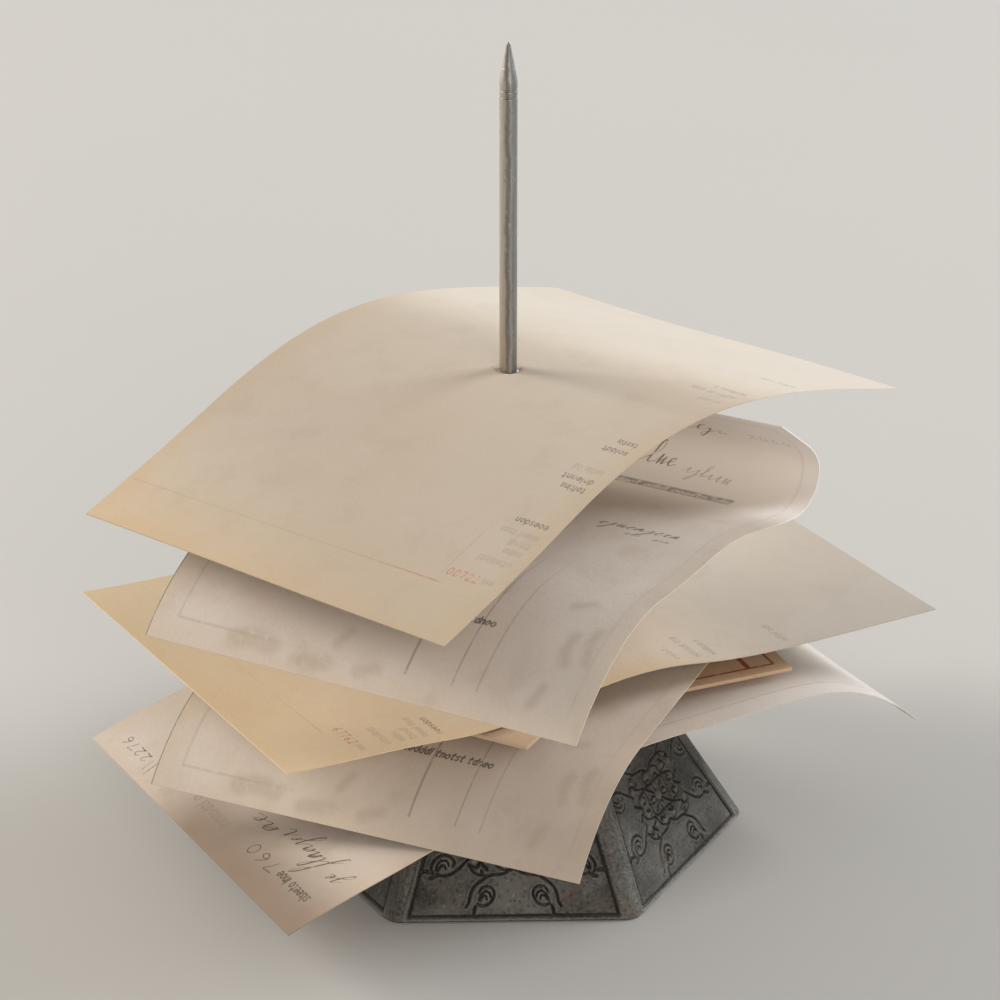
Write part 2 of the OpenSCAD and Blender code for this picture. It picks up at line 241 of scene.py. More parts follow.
# A quarter of one face's ornament: across from the middle, and along from the middle to the foot
fine_line, stout_line = 0.12, 0.19
scroll_lines = [
    (fine_line, ((0.1, 5.2), (0.9, 5.7), (1.7, 6.1), (3.0, 6.3), (4.2, 6.4), (5.2, 6.9),
                 (6.4, 7.7), (7.4, 8.7), (8.0, 10.1), (8.3, 11.5), (8.8, 12.2))),
    (fine_line, ((6.7, 11.6), (5.6, 12.0), (4.4, 11.5), (3.6, 10.2), (3.8, 9.0), (4.7, 8.4),
                 (5.8, 8.7), (6.3, 9.6))),
    (fine_line, ((6.4, 10.9), (5.9, 9.9), (5.1, 9.3), (4.4, 9.7), (4.2, 10.5))),
    (fine_line, ((6.2, 11.0), (5.7, 10.3), (5.1, 10.2), (4.9, 10.9))),
    (stout_line, ((7.0, 12.1), (7.3, 13.0), (7.4, 14.0))),
    (fine_line, ((8.2, 3.4), (9.0, 4.2), (10.0, 5.1), (11.0, 5.9), (12.0, 6.3), (13.1, 6.4), (14.0, 6.0))),
    (stout_line, ((13.9, 6.3), (14.6, 6.6), (15.3, 6.8))),
    (fine_line, ((14.8, 6.0), (15.1, 4.9), (14.6, 3.7), (13.7, 2.9), (12.6, 2.6), (11.5, 3.0),
                 (10.8, 3.9), (11.1, 4.7))),
    (fine_line, ((14.2, 5.4), (13.9, 4.4), (13.1, 3.6), (12.2, 3.7), (11.8, 4.5))),
    (fine_line, ((13.9, 5.5), (13.3, 4.7), (12.7, 4.5), (12.4, 5.2))),
    (stout_line, ((15.5, 5.7), (16.3, 5.5), (17.1, 6.0))),
    (fine_line, ((6.4, 0.0), (6.9, 0.9), (6.6, 1.8), (5.6, 2.4), (4.4, 2.6), (3.5, 2.9))),
    (fine_line, ((3.5, 2.9), (3.4, 3.7), (3.1, 4.5), (2.3, 5.2), (1.2, 5.5), (0.0, 5.1))),
    (stout_line, ((5.7, 0.8), (4.9, 0.8), (4.5, 1.4), (5.0, 1.9))),
    (stout_line, ((1.0, 3.5), (1.6, 3.9), (2.3, 3.6), (2.6, 4.2))),
    (fine_line, ((0.8, 0.7), (1.6, 1.5), (2.6, 2.3), (3.4, 2.8))),
    (fine_line, ((1.1, 0.2), (2.0, 0.6), (3.0, 0.35))),
    (fine_line, ((0.25, 1.1), (0.5, 1.9), (0.25, 2.8))),
    (fine_line, ((3.4, 2.8), (3.7, 1.6), (3.5, 0.5), (3.9, 0.0))),
    (fine_line, ((3.4, 2.8), (2.0, 3.0), (0.7, 2.8), (0.0, 3.2))),
    (stout_line, ((4.8, 5.3), (5.4, 4.7), (6.1, 4.1), (6.6, 4.9), (7.4, 4.9), (8.2, 4.4))),
    (stout_line, ((5.9, 5.5), (5.6, 6.4))),
    (fine_line, ((7.7, 2.2), (7.8, 3.0), (8.2, 3.5))),
    (stout_line, ((6.5, 0.3), (7.3, 0.8), (8.4, 1.6))),
    (fine_line, ((3.7, 3.1), (4.9, 3.5), (6.0, 4.0))),
    (fine_line, ((8.2, 4.4), (7.5, 5.6), (6.3, 6.3), (5.0, 6.5))),
]
# Soft bosses in the same quarter, each with its place, its radius and its height
soft_bosses = [
    ((0.0, 0.0), 1.1, 0.4),
    ((2.3, 0.0), 1.3, 0.3),
    ((0.0, 2.1), 1.2, 0.3),
    ((1.8, 4.4), 1.5, 0.4),
    ((5.4, 1.4), 1.6, 0.4),
    ((5.0, 3.9), 1.3, 0.34),
    ((7.2, 3.7), 1.2, 0.34),
    ((6.4, 5.5), 1.2, 0.3),
    ((5.1, 9.8), 1.9, 0.32),
    ((12.6, 3.9), 2.0, 0.32),
]
line_deep = 0.4
line_reach = 1.6
lip_high, lip_off, lip_half = 0.14, 0.35, 0.26


def near(points, low, high, room):
    """Which points lie in a box with some room round it."""
    return np.flatnonzero(((points > np.array(low) - room) & (points < np.array(high) + room)).all(1))


def off_line(spots, line, half):
    """How far spots lie off a line of short straight steps, less half the line's width there."""
    x, y = spots.T
    nearest = np.full(len(x), np.inf)
    for (ax, ay), (bx, by), wide in zip(line, line[1:], np.broadcast_to(half, len(line) - 1)):
        step_x, step_y = bx - ax, by - ay
        part = np.clip(((x - ax) * step_x + (y - ay) * step_y) / max(step_x**2 + step_y**2, 1e-9), 0, 1)
        away = np.sqrt((x - ax - part * step_x) ** 2 + (y - ay - part * step_y) ** 2)
        nearest = np.minimum(nearest, away - wide)
    return nearest


def ornament(points):
    """(how far the metal stands up, how deep it is cut) at points of a quarter of a face."""
    raised = np.zeros(len(points))
    cut = np.zeros(len(points))
    for centre, radius, height in soft_bosses:
        away = np.linalg.norm(points - np.array(centre), axis=1)
        raised = np.maximum(raised, height * np.clip(1 - (away / radius) ** 2, 0, 1))
    for half, through in scroll_lines:
        line = sweep(*through)
        here = near(points, line.min(0), line.max(0), line_reach)
        off = off_line(points[here], line, half)
        cut[here] = np.maximum(cut[here], np.clip(0.65 - 0.8 * off / half, 0, 1))
        lip = lip_high * np.exp(-(((off - lip_off) / lip_half) ** 2))
        raised[here] = np.maximum(raised[here], lip)
    return raised, cut


panel_side, panel_foot, panel_top = 3.2, 1.2, 1.6
panel_sunk = 0.12
frame_half = 0.3
bead_high, bead_off, bead_half = 0.13, 0.75, 0.3
crowd_wide, crowd_long = 6.5, 6.0
rub_reach = 0.9
face_splay = (foot_half - top_half) * math.tan(math.pi / 6) / face_slope


def face_relief(across, up):
    """(height of the surface, share of dirt in it, share rubbed bright) at places on a face."""
    points = np.stack([np.abs(across), np.abs(up - panel_middle)], axis=1)
    raised, cut = ornament(points)
    side = foot_half * math.tan(math.pi / 6) - up * face_splay - np.abs(across)
    inside = np.minimum(np.minimum(up - panel_foot, face_slope - panel_top - up), side - panel_side)
    frame_line = np.clip(1.15 - np.abs(inside) / frame_half, 0, 1)
    bead = np.exp(-(((inside + bead_off) / bead_half) ** 2))
    panel = np.clip(inside / frame_half, 0, 1)
    cut = np.maximum(cut * panel, frame_line)
    height = raised * panel + bead_high * bead - line_deep * cut * cut * (3 - 2 * cut) - panel_sunk * panel
    crowded = np.exp(-((np.hypot(points[:, 0] / crowd_wide, points[:, 1] / crowd_long)) ** 4))
    soot = np.clip(cut + 0.45 * crowded * np.clip(1 - raised / 0.25, 0, 1) * panel, 0, 1)
    edge = np.minimum(np.minimum(up, face_slope - up), side)
    worn = 0.9 * np.exp(-np.clip(edge, 0, None) / rub_reach) + 2.2 * raised * panel + 0.5 * bead
    rub = np.clip(worn, 0, 1) * (1 - cut)
    return height, soot, rub


face_steps, corner_steps, slope_steps = 196, 6, 144
azimuths = np.radians(np.linspace(-120, -60, face_steps + 2 * corner_steps + 1))


def six_sided(half, corner, z):
    """One sixth of a six-sided ring with rounded corners, as points from corner to corner."""
    straight = (half - corner) * math.tan(math.pi / 6)
    turn = np.linspace(-math.pi / 6, 0, corner_steps, endpoint=False)
    left = np.stack([-straight + corner * np.sin(turn), corner - half - corner * np.cos(turn)], axis=1)
    across = np.linspace(-straight, straight, face_steps + 1)
    middle = np.stack([across, np.full(len(across), -half)], axis=1)
    outline = np.concatenate([left, middle, left[::-1] * (-1, 1)])
    return np.column_stack([outline, np.full(len(outline), z)])


def round_ring(radius, z):
    """One sixth of a round ring, with as many points as a six-sided one."""
    level = np.full(len(azimuths), z)
    return np.column_stack([radius * np.cos(azimuths), radius * np.sin(azimuths), level])


slope_ups = np.linspace(0.4, face_slope - 0.9, slope_steps)
slope_rows = np.array(
    [
        six_sided(foot_half - up * math.sin(face_lean), corner_round, up * math.cos(face_lean))
        for up in slope_ups
    ]
)
heights, _, _ = face_relief(slope_rows[:, :, 0].ravel(), np.repeat(slope_ups, len(azimuths)))
heights = heights.reshape(slope_rows.shape[:2])
slope_rows[:, :, 1] -= heights * math.cos(face_lean)
slope_rows[:, :, 2] += heights * math.sin(face_lean)
hollow_top = hollow_half - deck_low * face_tan
wall_section = [
    six_sided(foot_half - 0.62, corner_round, 0),
    six_sided(foot_half - 0.34, corner_round, 0.08),
    *slope_rows,
    six_sided(top_half + 0.2, corner_round, casting_h - 0.28),
    six_sided(top_half - 0.2, corner_round, casting_h - 0.06),
    six_sided(top_half - 0.7, corner_round, casting_h),
    six_sided(18.0, corner_round, casting_h),
    six_sided(11.0, corner_round, casting_h),
    round_ring(6.0, casting_h),
    round_ring(rod_round + 0.25, casting_h),
    round_ring(rod_round + slip, casting_h - 0.2),
    round_ring(rod_round + slip, seat_low),
    round_ring(stud_round + slip, seat_low),
    round_ring(stud_round + slip, boss_low + 0.2),
    round_ring(stud_round + 0.3, boss_low),
    round_ring(boss_round - 0.4, boss_low),
    round_ring(boss_round, boss_low + 0.4),
    round_ring(boss_round, deck_low - 0.7),
    round_ring(boss_round + 0.7, deck_low),
    six_sided(13.0, hollow_corner, deck_low),
    six_sided(hollow_top - 1.4, hollow_corner, deck_low),
    six_sided(hollow_top + 0.1, hollow_corner, deck_low - 0.5),
    *(six_sided(hollow_half - z * face_tan, hollow_corner, z) for z in (deck_low - 1.6, 14.0, 7.0, 0.5)),
    six_sided(hollow_half + 0.4, hollow_corner, 0),
    six_sided(hollow_half + 2.5, corner_round, 0),
]
wall_section.append(wall_section[0])

bpy.ops.mesh.primitive_grid_add(
    x_subdivisions=len(azimuths) - 1,
    y_subdivisions=len(wall_section) - 1,
    size=1,
)
casting = bpy.context.object
casting.name = "iron_casting"
casting.data.vertices.foreach_set("co", np.concatenate(wall_section).ravel() * mm)
bpy.ops.object.mode_set(mode="EDIT")
bpy.ops.mesh.select_all(action="SELECT")
bpy.ops.mesh.spin(dupli=True, steps=5, angle=math.radians(300), center=(0, 0, 0), axis=(0, 0, 1))
bpy.ops.mesh.select_all(action="SELECT")
bpy.ops.mesh.remove_doubles(threshold=2e-6)
bpy.ops.object.mode_set(mode="OBJECT")
thinned = casting.modifiers.new("thinned", "DECIMATE")
thinned.ratio = 0.44
bpy.ops.object.modifier_apply(modifier="thinned")
bpy.ops.object.shade_smooth_by_angle(angle=math.radians(50))


def spots_of(piece):
    """A piece's vertices as rows of x, y and z."""
    found = np.empty(len(piece.data.vertices) * 3, np.float32)
    piece.data.vertices.foreach_get("co", found)
    return found.reshape(-1, 3).astype(float)


def hold_values(piece, name, values):
    """Gives a mesh a value at each of its vertices, which a finish can read."""
    value_map = piece.data.attributes.new(name, "FLOAT", "POINT")
    value_map.data.foreach_set("value", values.astype(np.float32))


iron_spots = spots_of(casting) / mm
azimuth = np.arctan2(iron_spots[:, 1], iron_spots[:, 0]) + math.pi / 2
turned_by = np.round(azimuth / (math.pi / 3)) * math.pi / 3
across_face = iron_spots[:, 0] * np.cos(turned_by) + iron_spots[:, 1] * np.sin(turned_by)
from_axis = iron_spots[:, 0] * np.sin(turned_by) - iron_spots[:, 1] * np.cos(turned_by)
up_face = iron_spots[:, 2] / math.cos(face_lean)
off_face = from_axis - (foot_half - iron_spots[:, 2] * face_tan)
on_face = (off_face > -0.9) & (iron_spots[:, 2] > 0.3) & (iron_spots[:, 2] < casting_h - 0.4)
_, soot_share, rub_share = face_relief(across_face, up_face)
for wear, share, elsewhere in (("soot", soot_share, 0.25), ("rub", rub_share, 0.15)):
    hold_values(casting, wear, np.where(on_face, share, elsewhere))

dark_iron = (0.040, 0.037, 0.034)
grey_iron = (0.110, 0.110, 0.103)
rust = (0.078, 0.054, 0.036)
bare_grain = (0.20, 0.20, 0.185)
sandy_speck = (0.30, 0.27, 0.20)
pit_black = (0.03, 0.028, 0.024)
rubbed_iron = (0.26, 0.25, 0.22)
caked_dirt = (0.011, 0.009, 0.008)
iron = Finish("aged_cast_iron")
iron_place = iron.node("TexCoord", output="Object")
iron_cloud = iron.noise(iron_place, 90.0, 5.0, 0.65).rise(0.34, 0.66)
iron_rust = iron.noise(iron_place, 160.0, 5.0, 0.65).rise(0.5, 0.7)
iron_grain = iron.noise(iron_place, 1700.0, 3.0, 0.6)
iron_pits = iron.node("TexVoronoi", {}, {"Vector": iron_place, "Scale": 900.0}).fall(0.1, 0.35)
iron_specks = iron.noise(iron_place, 1250.0, 2.0, 0.5).rise(0.64, 0.72)
soot = iron.mapped("soot")
iron_dirt = (soot * (0.7 + 0.6 * iron_cloud)).rise(0.16, 0.8)
iron_rub = iron.mapped("rub") * iron_grain.rise(0.25, 0.6)
iron.colour = iron.mix(iron_cloud, dark_iron, grey_iron)
iron.lay(iron_rust * 0.65, rust)
iron.lay(iron_grain.rise(0.35, 0.75) * 0.26, bare_grain)
iron.lay(iron_specks * 0.32, sandy_speck)
iron.lay(iron_pits * 0.35, pit_black)
iron.lay(iron_rub * 0.55, rubbed_iron)
iron.lay(iron_dirt * 0.95, caked_dirt)
iron_rough = 0.48 + 0.16 * iron_grain + 0.25 * iron_dirt
iron_height = iron_grain * 0.5 + iron.noise(iron_place, 420.0) - iron_pits * 0.5
casting.data.materials.append(
    iron.dress(
        Base_Color=iron.colour,
        Roughness=iron_rough,
        Metallic=0.55 * (1 - iron_dirt),
        Normal=iron.bump(iron_height, 0.45, 0.0003),
    )
)
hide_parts("base_casting")
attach(casting, "stand")


# Spike
# A steel rod turned with a blunt point and two fine rings, stepped down at its foot to a threaded
# stud. Handling has left it scratched along its length, with a warm stain on it. Painted reflections
# colour it warm down its left side and cool down its right, with a painted dark streak down the
# middle of its front.
spike_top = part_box("spike")[1].z / mm
stud_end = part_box("spike")[0].z / mm
point_long = 7.0
tip_round = 0.38
ring_heights = (spike_top - 9.9, spike_top - 8.6)
ring_half, ring_deep = 0.2, 0.15
thread_pitch, thread_deep = 0.45, 0.16
thread_top = stud_end + 5.0
centre_round = 0.0005


def turned(name, stations, sides, closed=False):
    """A turned piece: a circle drawn out through stations of radius and height."""
    first_round, first_z = stations[0]
    bpy.ops.object.select_all(action="DESELECT")
    bpy.ops.mesh.primitive_circle_add(
        vertices=sides,
        radius=first_round * mm,
        location=(0, 0, first_z * mm),
    )
    piece = bpy.context.object
    piece.name = name
    bpy.ops.object.mode_set(mode="EDIT")
    bpy.ops.mesh.select_all(action="SELECT")
    for (radius, z), (next_radius, next_z) in zip(stations, stations[1:]):
        bpy.ops.mesh.extrude_region_move(TRANSFORM_OT_translate={"value": (0, 0, (next_z - z) * mm)})
        share = next_radius / radius
        bpy.ops.transform.resize(value=(share, share, 1), center_override=(0, 0, next_z * mm))
    if not closed:
        bpy.ops.mesh.edge_face_add()
    bpy.ops.mesh.select_all(action="SELECT")
    bpy.ops.mesh.remove_doubles(threshold=2e-6)
    bpy.ops.mesh.normals_make_consistent(inside=False)
    bpy.ops.object.mode_set(mode="OBJECT")
    bpy.ops.object.transform_apply(location=True, rotation=True, scale=True)
    return piece


thread_steps = np.arange(stud_end + 0.25, thread_top, thread_pitch / 6)
spike_stations = [(centre_round, stud_end), (stud_round - 0.3, stud_end)]
spike_stations += [(stud_round, z) for z in thread_steps]
spike_stations += [(stud_round, seat_low), (rod_round - 0.1, seat_low), (rod_round, seat_low + 0.1)]
spike_stations += [(rod_round, z) for z in np.linspace(seat_low + 4, ring_heights[0] - 3, 12)]
ring_lips = ((-1.6, 0.0), (-1.0, 0.03), (-0.6, ring_deep), (0.6, ring_deep), (1.0, 0.03), (1.6, 0.0))
for ring_z in ring_heights:
    spike_stations += [(rod_round - deep, ring_z + ring_half * step) for step, deep in ring_lips]
point_base = spike_top - point_long
spike_stations += [(rod_round, point_base - 0.2), (rod_round - 0.03, point_base)]
scratch_z = spike_top - 4.6
scratch_half, scratch_deep = 0.12, 0.025
cone_heights = (
    point_base + 1.0,
    scratch_z - scratch_half,
    scratch_z,
    scratch_z + scratch_half,
    spike_top - 2.5,
    spike_top - tip_round,
)
for z in cone_heights:
    radius = tip_round + (rod_round - tip_round) * (spike_top - tip_round - z) / (point_long - tip_round)
    spike_stations.append((radius - scratch_deep * (z == scratch_z), z))
for angle in np.radians(np.arange(14, 88, 8)):
    nose = (tip_round * math.cos(angle), spike_top - tip_round + tip_round * math.sin(angle))
    spike_stations.append(nose)
spike_stations.append((centre_round, spike_top))
spike = turned("steel_spike", spike_stations, 56)

rod_spots = spots_of(spike) / mm
threaded = (rod_spots[:, 2] > stud_end + 0.2) & (rod_spots[:, 2] < thread_top)
winding = (rod_spots[:, 2] / thread_pitch - np.arctan2(rod_spots[:, 1], rod_spots[:, 0]) / math.tau) % 1
groove = np.where(threaded, thread_deep * (1 - np.abs(2 * winding - 1)), 0)
rod_spots[:, :2] *= (1 - groove / stud_round)[:, None]
spike.data.vertices.foreach_set("co", (rod_spots * mm).ravel())
bpy.ops.object.shade_smooth_by_angle(angle=math.radians(9))

drawn_grey = (0.33, 0.34, 0.34)
drawn_bright = (0.47, 0.475, 0.47)
warm_stain = (0.40, 0.34, 0.28)
# Painted reflections: a warm colour for the rod's left side, a cool one for its right side, and a grey for
# a painted dark streak down the middle of its front.
painted_warm_reflection = (0.58, 0.485, 0.40)
painted_cool_reflection = (0.19, 0.205, 0.208)
painted_streak_grey = (0.17, 0.165, 0.155)
bright_fleck = (0.66, 0.64, 0.61)
rust_spot = (0.14, 0.115, 0.09)
steel = Finish("handled_steel")
steel_place = steel.node("TexCoord", output="Object")
steel_draw = steel.noise(steel.stretched(steel_place, (2600.0, 2600.0, 70.0)), 1.0, 4.0, 0.6)
steel_turn = steel.noise(steel.stretched(steel_place, (90.0, 90.0, 2400.0)), 1.0, 3.0)
steel_stain = steel.noise(steel_place, 130.0, 5.0, 0.65)
steel_spots = steel.noise(steel_place, 900.0, 3.0, 0.7).rise(0.6, 0.72)
steel_fleck = steel.noise(steel.stretched(steel_place, (1700.0, 1700.0, 900.0)), 1.0, 3.0, 0.7)
steel_spot = steel.node("SeparateXYZ", {}, {0: steel_place})
# Painted reflections: the rod is coloured warm down its left side and cool down its right, with a painted
# dark streak down the middle of its front.
reflection_side = steel_spot / mm + 1.2 * (steel_stain - 0.5)
painted_dark_streak = abs(reflection_side + 0.15).fall(0.15, 0.6) * (steel_spot.out("Y") / mm).fall(-0.6, 0.3)
steel.colour = steel.mix(steel_draw.rise(0.3, 0.7), drawn_grey, drawn_bright)
steel.lay(steel_stain.rise(0.45, 0.7) * 0.3, warm_stain)
steel.lay(reflection_side.fall(-0.5, 0.1) * 0.6, painted_warm_reflection)
steel.lay(reflection_side.rise(0.3, 1.1) * 0.6, painted_cool_reflection)
steel.lay(painted_dark_streak * 0.75, painted_streak_grey)
steel.lay(steel_fleck.rise(0.56, 0.74) * 0.4, bright_fleck)
steel.lay(steel_spots * 0.55, rust_spot)
steel_rough = 0.3 + 0.16 * steel_draw + 0.16 * steel_stain.rise(0.4, 0.75) + 0.2 * steel_spots
spike.data.materials.append(
    steel.dress(
        Base_Color=steel.colour,
        Roughness=steel_rough,
        Metallic=1 - 0.5 * steel_spots,
        Normal=steel.bump(steel_draw + 0.5 * steel_turn, 0.12, 0.0001),
    )
)
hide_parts("spike")
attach(spike, "stand")


# Washer and nut
# A punched washer and a chamfered hexagon nut on the stud, up inside the hollow of the casting.
# Both are plain steel that has gone dull and brown.
washer_low, washer_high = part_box("washer")
nut_low, nut_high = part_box("nut")
washer_round = washer_high.x / mm
washer_z = (washer_low.z / mm, washer_high.z / mm)
hole_round = stud_round + slip
washer_section = [
    (hole_round, washer_z[0] + 0.08), (hole_round + 0.08, washer_z[0]),
    (washer_round - 0.15, washer_z[0]), (washer_round, washer_z[0] + 0.15),
    (washer_round, washer_z[1] - 0.06), (washer_round - 0.06, washer_z[1]),
    (hole_round + 0.05, washer_z[1]), (hole_round, washer_z[1] - 0.05),
    (hole_round, washer_z[0] + 0.08),
]
washer = turned("steel_washer", washer_section, 48, closed=True)
bpy.ops.object.shade_smooth_by_angle(angle=math.radians(32))


def carve(piece, tool, operation):
    """Cuts one piece with another, which is then taken away."""
    carved = piece.modifiers.new("carved", "BOOLEAN")
    carved.operation = operation
    carved.object = tool
    carved.solver = "EXACT"
    bpy.context.view_layer.objects.active = piece
    bpy.ops.object.modifier_apply(modifier="carved")
    bpy.data.objects.remove(tool)


nut_z = (nut_low.z / mm, nut_high.z / mm)
nut_corner = nut_high.x / mm
nut_flat = nut_corner * math.cos(math.pi / 6)
chamfer_rise = (nut_corner - nut_flat + 0.15) * math.tan(math.radians(30))
bpy.ops.object.select_all(action="DESELECT")
bpy.ops.mesh.primitive_cylinder_add(
    vertices=6,
    radius=nut_corner * mm,
    depth=(nut_z[1] - nut_z[0]) * mm,
    location=(0, 0, sum(nut_z) / 2 * mm),
    rotation=(0, 0, math.pi / 6),
)
nut = bpy.context.object
nut.name = "steel_nut"
bpy.ops.object.transform_apply(location=True, rotation=True, scale=True)
nut_turning = turned(
    "nut_turning",
    [
        (hole_round + 0.2, nut_z[0] - 0.02), (nut_flat - 0.15, nut_z[0] - 0.02),
        (nut_corner + 0.05, nut_z[0] + chamfer_rise), (nut_corner + 0.05, nut_z[1] - chamfer_rise),
        (nut_flat - 0.15, nut_z[1] + 0.02), (hole_round + 0.2, nut_z[1] + 0.02),
        (hole_round, nut_z[1] - 0.2), (hole_round, nut_z[0] + 0.2), (hole_round + 0.2, nut_z[0] - 0.02),
    ],
    48,
    closed=True,
)
carve(nut, nut_turning, "INTERSECT")
bpy.ops.object.select_all(action="DESELECT")
nut.select_set(True)
bpy.ops.object.shade_smooth_by_angle(angle=math.radians(25))

fixing_grey = (0.34, 0.335, 0.32)
fixing_brown = (0.17, 0.115, 0.075)
dull = Finish("dull_fixing_steel")
dull_place = dull.node("TexCoord", output="Object")
dull_brown = dull.noise(dull_place, 420.0, 5.0, 0.65)
dull_grain = dull.noise(dull_place, 3200.0, 2.0)
dull_colour = dull.mix(dull_brown.rise(0.4, 0.68), fixing_grey, fixing_brown)
dull_metal = dull.dress(
    Base_Color=dull_colour,
    Roughness=0.42 + 0.3 * dull_brown,
    Metallic=1 - 0.6 * dull_brown.rise(0.5, 0.7),
    Normal=dull.bump(dull_grain, 0.2, 0.00008),
)
for fixing, node in ((washer, "washer"), (nut, "nut")):
    fixing.data.materials.append(dull_metal)
    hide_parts(node)
    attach(fixing, "stand")


# Bottom bill
# The oldest paper on the spike: a pale bill, headed in print and filled in with brown ink, whose
# rear end hangs down. The rod has torn a small hole through it, as through every paper here.
paper_thick = 0.2
cockle_high = 0.07
fine_cuts, soft_cuts = 7, 2
hole_clear = 3.6
# Rings drawn inwards round the torn hole, each with its radius and how far it is pushed down
hole_rings = ((3.1, 0.0), (2.6, 0.05), (2.25, 0.15), (1.94, 0.38))


def arched(rear_bends, front_bends, front, rear, slope, spots):
    """Where places along a bent sheet lie: how far back, how high, and how steep there."""
    step = 0.2
    ease_steps = 25
    easing = np.hanning(ease_steps) / np.hanning(ease_steps).sum()

    def line_of(runs, length, start, sign):
        distance = np.arange(0, length + step, step)
        run = np.minimum((distance * len(runs) / length).astype(int), len(runs) - 1)
        bend = np.radians(runs)[run] * len(runs) / length
        soft = np.convolve(np.pad(bend, ease_steps // 2, mode="edge"), easing, mode="valid")
        tilt = np.concatenate([[start], start + np.cumsum(soft * step)[:-1]])
        x = np.concatenate([[0], np.cumsum(np.cos(tilt) * step)[:-1]])
        z = np.concatenate([[0], np.cumsum(np.sin(tilt) * step)[:-1]])
        return sign * distance, sign * x, z, sign * tilt

    behind = line_of(rear_bends, rear, math.radians(slope), 1)
    ahead = line_of(front_bends, front, -math.radians(slope), -1)
    places, *lines = [np.concatenate([f[:0:-1], r]) for f, r in zip(ahead, behind)]
    return [np.interp(spots, places, line) for line in lines]


pen_turns = (
    ((0.3, 0.95), (0.34, 0.3), (0.5, 0.02), (0.75, 0.3)),
    ((0.35, 0.6), (0.3, 0.98), (0.1, 0.6), (0.25, 0.05), (0.6, 0.3)),
    ((0.42, 1.5), (0.4, 2.2), (0.22, 1.7), (0.26, 0.2), (0.6, 0.25)),
    ((0.4, 0.95), (0.1, 0.75), (0.15, 0.1), (0.45, 0.8), (0.5, 0.1), (0.8, 0.3)),
    ((0.35, 0.95), (0.4, -0.4), (0.2, -1.3), (0.05, -0.8), (0.7, 0.3)),
    ((0.15, 0.9), (0.25, 0.05), (0.45, 0.9), (0.52, 0.05), (0.75, 0.3)),
)
pen_flourish = (
    (0.3, 1.2), (0.9, 2.5), (0.75, 3.1), (0.4, 2.3), (0.35, 0.0),
    (0.1, -1.3), (-0.3, -0.9), (0.2, 0.0), (0.9, 0.3),
)
figure_shapes = (
    ((0.4, 0.95), (0.14, 0.75), (0.1, 0.25), (0.32, 0.0), (0.54, 0.3), (0.54, 0.75), (0.38, 0.98)),
    ((0.18, 0.72), (0.4, 1.0), (0.38, 0.5), (0.34, 0.0)),
    ((0.1, 0.75), (0.3, 1.0), (0.52, 0.75), (0.35, 0.4), (0.05, 0.02), (0.3, 0.08), (0.6, 0.02)),
    ((0.05, 0.92), (0.3, 0.95), (0.58, 0.98), (0.4, 0.5), (0.25, 0.0)),
    ((0.5, 0.98), (0.25, 0.7), (0.08, 0.3), (0.3, 0.0), (0.52, 0.22), (0.32, 0.46), (0.12, 0.3)),
)
type_shapes = (
    (((0.15, 0.0), (0.15, 0.5), (0.15, 1.0)),),
    (((0.12, 0.0), (0.12, 0.66)), ((0.12, 0.45), (0.3, 0.67), (0.46, 0.5), (0.46, 0.0))),
    (((0.3, 0.66), (0.1, 0.45), (0.12, 0.15), (0.3, 0.0), (0.48, 0.15), (0.5, 0.45), (0.3, 0.66)),),
    (((0.1, 0.36), (0.48, 0.36), (0.42, 0.6), (0.22, 0.66), (0.08, 0.32), (0.22, 0.03), (0.46, 0.1)),),
    (((0.22, 0.95), (0.22, 0.12), (0.4, 0.02)), ((0.05, 0.66), (0.4, 0.66))),
    (((0.42, 0.56), (0.25, 0.66), (0.12, 0.5), (0.4, 0.2), (0.28, 0.0), (0.08, 0.1)),),
    (((0.48, 1.0), (0.48, 0.0)), ((0.48, 0.5), (0.28, 0.66), (0.1, 0.33), (0.28, 0.0), (0.48, 0.16))),
)


def on_sheet(strokes, at, low, high, tall, climb, turned_over):
    """Strokes set in a row across the sheet. Turned over, they read from its far end."""
    wide = max(line[:, 0].max() for line, _ in strokes)
    placed = []
    for line, half in strokes:
        x, y = line[:, 0] / wide * (high - low), line[:, 1] * tall
        across, up = (high - x, -y) if turned_over else (low + x, y)
        placed.append((np.stack([at + up + climb * (across - low), across], axis=1), half))
    return placed


def written(at, low, high, tall, seed, climb=0.0, turned_over=False, flourish=False):
    """A written word that can't be read: one line of joined pen turns, thicker on the way down."""
    chance = np.random.default_rng(seed)
    through = list(pen_flourish) if flourish else [(0.0, 0.1)]
    x = through[-1][0]
    while x < 0.9 * (high - low) / tall:
        turn = pen_turns[chance.integers(len(pen_turns))]
        wide = chance.uniform(1.4, 2.1)
        through += [(x + wide * px, py * chance.uniform(0.85, 1.15)) for px, py in turn]
        x += wide * turn[-1][0]
    line = sweep(*through)
    line[:, 0] += 0.6 * line[:, 1]
    line[:, 0] -= line[:, 0].min()
    steps = np.diff(line, axis=0)
    fall = np.clip(-steps[:, 1] / np.maximum(np.linalg.norm(steps, axis=1), 1e-6), 0, 1)
    return on_sheet([(line, 0.08 + 0.09 * fall)], at, low, high, tall, climb, turned_over)


def printed(at, low, high, tall, seed, turned_over=False, bold=0.08, lean=0.0, narrow=1.0):
    """Printed words that can't be read: letter-like shapes in no order, in short groups."""
    chance = np.random.default_rng(seed)
    x, strokes, letters = 0.0, [], chance.integers(5, 9)
    while x < (high - low) / tall / narrow - 0.3:
        shape = type_shapes[chance.integers(len(type_shapes))]
        lines = [sweep(*stroke) + (x, 0) for stroke in shape]
        x = max(line[:, 0].max() for line in lines) + 0.14
        strokes += [(line + line[:, 1:] * (lean, 0), bold * tall) for line in lines]
        letters -= 1
        if letters == 0:
            x, letters = x + 0.4, chance.integers(5, 9)
    return on_sheet(strokes, at, low, high, tall, 0.0, turned_over)


